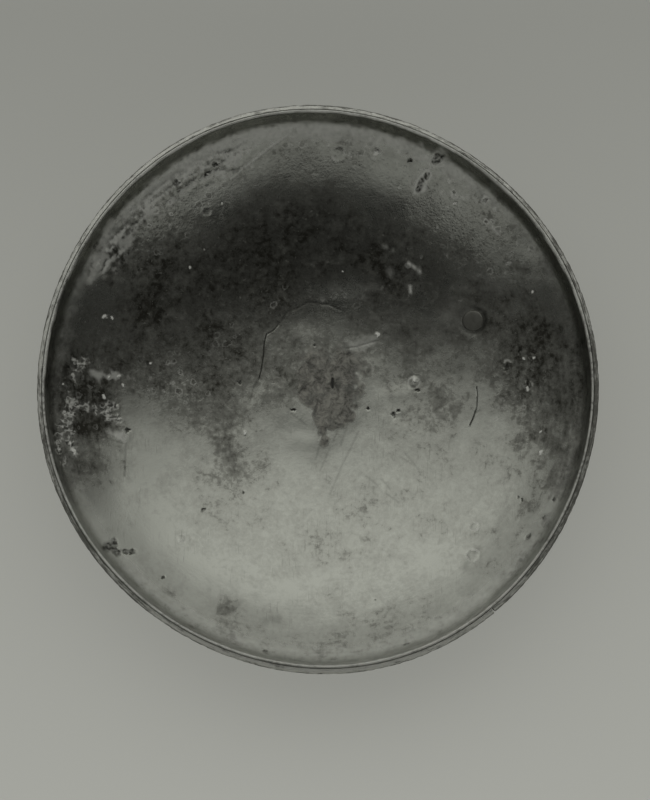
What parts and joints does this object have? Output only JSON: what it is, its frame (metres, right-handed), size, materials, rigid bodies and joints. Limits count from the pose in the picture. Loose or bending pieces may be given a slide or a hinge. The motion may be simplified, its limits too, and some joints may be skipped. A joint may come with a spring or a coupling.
{
  "type": "shallow metal bowl",
  "caption": "Shallow round-bottomed metal bowl with a small flat seat, an upturned wall, a half-round strip round the lip and a plug rivet in the wall.",
  "frame": {"origin": "the middle of the flat seat that the bowl rests on, which is the bottom centre of its box", "axes": "+Z up, out of the bowl's mouth; seen from above as in the picture, +X is right and +Y is up"},
  "size_m": [0.1706, 0.174, 0.0323],
  "materials": {
    "sheet_silver": "satin",
    "strip_silver": "matte",
    "rivet_silver": "satin"
  },
  "bodies": {
    "root": {"bowl_body": "sheet_silver", "rim_band": "strip_silver", "plug_rivet": "rivet_silver"}
  },
  "joints": []
}
